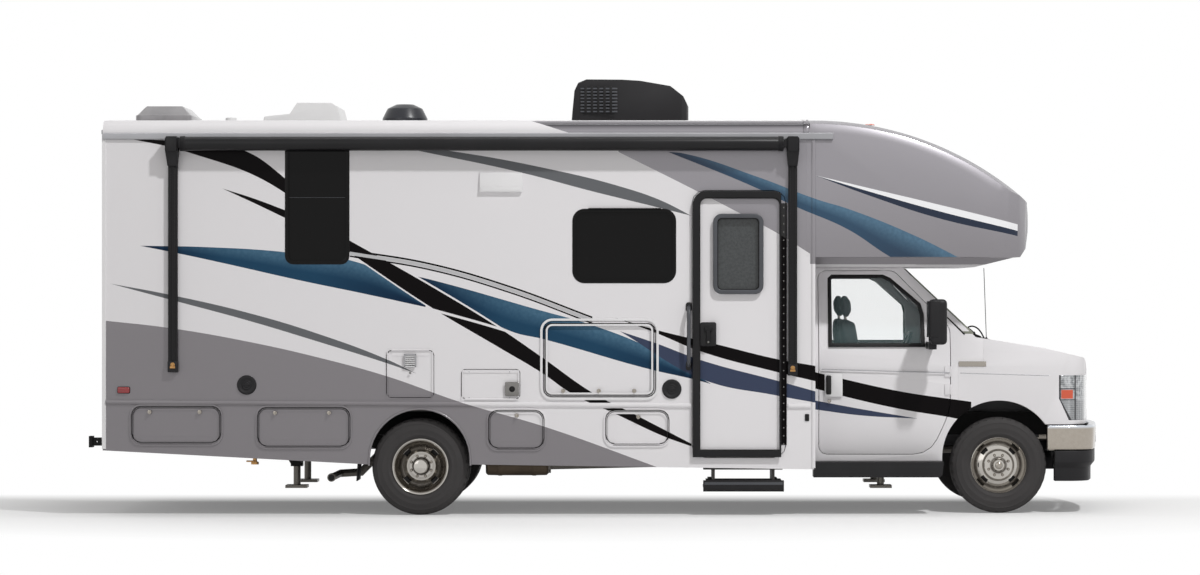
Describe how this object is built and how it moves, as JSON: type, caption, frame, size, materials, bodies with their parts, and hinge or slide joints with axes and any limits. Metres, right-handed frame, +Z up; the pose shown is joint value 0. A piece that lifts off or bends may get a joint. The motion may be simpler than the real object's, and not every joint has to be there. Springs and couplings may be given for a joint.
{
  "type": "motorhome",
  "caption": "Motorhome on a van chassis: coach body with a bunk over the cab, entry door, awning, baggage doors, roof air conditioner, twin rear wheels.",
  "frame": {"origin": "on the ground under the middle of the vehicle, halfway between hitch and bumper", "axes": "+X forward, +Y to the driver's left, +Z up"},
  "size_m": [8.06, 2.84, 3.402],
  "materials": {
    "frame_black": "satin black",
    "cast_metal": "as cast",
    "black_plastic": "matt black",
    "bare_steel": "dull steel",
    "floor_board": "floor board",
    "coach_skin": "gloss white with painted stripes",
    "dark_glass": "dark tinted",
    "clear_glass": "clear",
    "powder_black": "black powder coat",
    "white_plastic": "weathered white",
    "cab_paint": "gloss white with painted stripes",
    "chrome": "polished",
    "lamp_lens": "clear lens",
    "seat_fabric": "grey cloth",
    "tyre": "black rubber"
  },
  "bodies": {
    "coach": {"chassis_frame": "frame_black", "hitch_receiver": "frame_black", "engine_block": "cast_metal", "underfloor_tanks": "black_plastic", "exhaust_system": "bare_steel", "rear_axle": "frame_black", "front_axle": "frame_black", "coach_floor": "floor_board", "coach_side_right": "coach_skin", "coach_side_left": "coach_skin", "skirt_right": "coach_skin", "skirt_left": "coach_skin", "coach_rear_wall": "coach_skin", "coach_front_wall": "coach_skin", "coach_roof": "coach_skin", "cabover_cap": "coach_skin", "coach_windows": "dark_glass", "awning": "powder_black", "air_conditioner": "black_plastic", "roof_vents": "white_plastic", "baggage_boxes": "black_plastic", "cab_shell": "cab_paint", "front_fenders": "cab_paint", "windshield": "clear_glass", "grille": "chrome", "lamps": "lamp_lens", "front_bumper": "chrome", "running_boards": "black_plastic", "cab_seats": "seat_fabric", "dashboard": "black_plastic"},
    "hood": {"hood": "cab_paint"},
    "entry_door": {"entry_door": "coach_skin", "entry_door_window": "dark_glass"},
    "entry_step": {"entry_step": "frame_black"},
    "jacks_front": {"jack_legs_front": "bare_steel"},
    "jacks_rear": {"jack_legs_rear": "bare_steel"},
    "storage_door_large": {"storage_door_large": "coach_skin"},
    "service_hatch_upper": {"service_hatch_upper": "coach_skin"},
    "service_hatch_lower": {"service_hatch_lower": "coach_skin"},
    "baggage_door_r1": {"baggage_door_r1": "coach_skin"},
    "baggage_door_r2": {"baggage_door_r2": "coach_skin"},
    "baggage_door_r3": {"baggage_door_r3": "coach_skin"},
    "baggage_door_r4": {"baggage_door_r4": "coach_skin"},
    "baggage_door_l1": {"baggage_door_l1": "coach_skin"},
    "cab_door_left": {"cab_door_left": "cab_paint", "cab_door_glass_left": "clear_glass", "mirror_left": "black_plastic"},
    "knuckle_left": {"knuckle_left": "frame_black"},
    "front_wheel_left": {"front_wheel_left": "chrome", "front_tyre_left": "tyre"},
    "rear_wheels_left": {"rear_wheels_left": "chrome", "rear_tyres_left": "tyre"},
    "cab_door_right": {"cab_door_right": "cab_paint", "cab_door_glass_right": "clear_glass", "mirror_right": "black_plastic"},
    "knuckle_right": {"knuckle_right": "frame_black"},
    "front_wheel_right": {"front_wheel_right": "chrome", "front_tyre_right": "tyre"},
    "rear_wheels_right": {"rear_wheels_right": "chrome", "rear_tyres_right": "tyre"}
  },
  "joints": [
    {"name": "rear_wheels_left_spin", "type": "hinge", "parent": "coach", "child": "rear_wheels_left", "pos_m": [-1.294, 1.125, 0.372], "axis": [0, 1, 0], "continuous": true},
    {"name": "steer_left", "type": "hinge", "parent": "coach", "child": "knuckle_left", "pos_m": [3.176, 0.8, 0.372], "axis": [0, 0, 1], "range_deg": [-30, 30]},
    {"name": "front_wheel_left_spin", "type": "hinge", "parent": "knuckle_left", "child": "front_wheel_left", "pos_m": [3.176, 0.881, 0.372], "axis": [0, 1, 0], "continuous": true},
    {"name": "rear_wheels_right_spin", "type": "hinge", "parent": "coach", "child": "rear_wheels_right", "pos_m": [-1.294, -1.125, 0.372], "axis": [0, 1, 0], "continuous": true},
    {"name": "steer_right", "type": "hinge", "parent": "coach", "child": "knuckle_right", "pos_m": [3.176, -0.8, 0.372], "axis": [0, 0, 1], "range_deg": [-30, 30]},
    {"name": "front_wheel_right_spin", "type": "hinge", "parent": "knuckle_right", "child": "front_wheel_right", "pos_m": [3.176, -0.881, 0.372], "axis": [0, 1, 0], "continuous": true},
    {"name": "entry_door_hinge", "type": "hinge", "parent": "coach", "child": "entry_door", "pos_m": [1.517, -1.2773, 1.47], "axis": [0, 0, 1], "range_deg": [0, 88]},
    {"name": "storage_door_large_hinge", "type": "hinge", "parent": "coach", "child": "storage_door_large", "pos_m": [0.08453, -1.2773, 1.477], "axis": [-1, 0, 0], "range_deg": [0, 100]},
    {"name": "service_hatch_upper_hinge", "type": "hinge", "parent": "coach", "child": "service_hatch_upper", "pos_m": [-1.367, -1.2773, 1.27], "axis": [-1, 0, 0], "range_deg": [0, 100]},
    {"name": "service_hatch_lower_hinge", "type": "hinge", "parent": "coach", "child": "service_hatch_lower", "pos_m": [-0.74955, -1.2773, 0.894], "axis": [1, 0, 0], "range_deg": [0, 100]},
    {"name": "baggage_door_r1_hinge", "type": "hinge", "parent": "coach", "child": "baggage_door_r1", "pos_m": [-3.162, -1.2773, 0.56], "axis": [1, 0, 0], "range_deg": [0, 100]},
    {"name": "baggage_door_r2_hinge", "type": "hinge", "parent": "coach", "child": "baggage_door_r2", "pos_m": [-2.184, -1.2773, 0.532], "axis": [1, 0, 0], "range_deg": [0, 100]},
    {"name": "baggage_door_r3_hinge", "type": "hinge", "parent": "coach", "child": "baggage_door_r3", "pos_m": [-0.55399, -1.2773, 0.518], "axis": [1, 0, 0], "range_deg": [0, 100]},
    {"name": "baggage_door_r4_hinge", "type": "hinge", "parent": "coach", "child": "baggage_door_r4", "pos_m": [0.37355, -1.2773, 0.549], "axis": [1, 0, 0], "range_deg": [0, 100]},
    {"name": "baggage_door_l1_hinge", "type": "hinge", "parent": "coach", "child": "baggage_door_l1", "pos_m": [-3.162, 1.2773, 0.56], "axis": [-1, 0, 0], "range_deg": [0, 100]},
    {"name": "cab_door_left_hinge", "type": "hinge", "parent": "coach", "child": "cab_door_left", "pos_m": [2.7995, 1.0143, 1], "axis": [0, 0, -1], "range_deg": [0, 65]},
    {"name": "cab_door_right_hinge", "type": "hinge", "parent": "coach", "child": "cab_door_right", "pos_m": [2.7995, -1.0143, 1], "axis": [0, 0, 1], "range_deg": [0, 65]},
    {"name": "hood_hinge", "type": "hinge", "parent": "coach", "child": "hood", "pos_m": [3.056, 0, 1.36], "axis": [0, -1, 0], "range_deg": [0, 55]},
    {"name": "entry_step_slide", "type": "slide", "parent": "coach", "child": "entry_step", "axis": [0, -1, 0], "range_m": [0, 0.25]},
    {"name": "jacks_front_slide", "type": "slide", "parent": "coach", "child": "jacks_front", "axis": [0, 0, -1], "range_m": [0, 0.165]},
    {"name": "jacks_rear_slide", "type": "slide", "parent": "coach", "child": "jacks_rear", "axis": [0, 0, -1], "range_m": [0, 0.165]}
  ],
  "couplings": [
    {"joint": "steer_right", "follows": "steer_left", "ratio": 1}
  ]
}
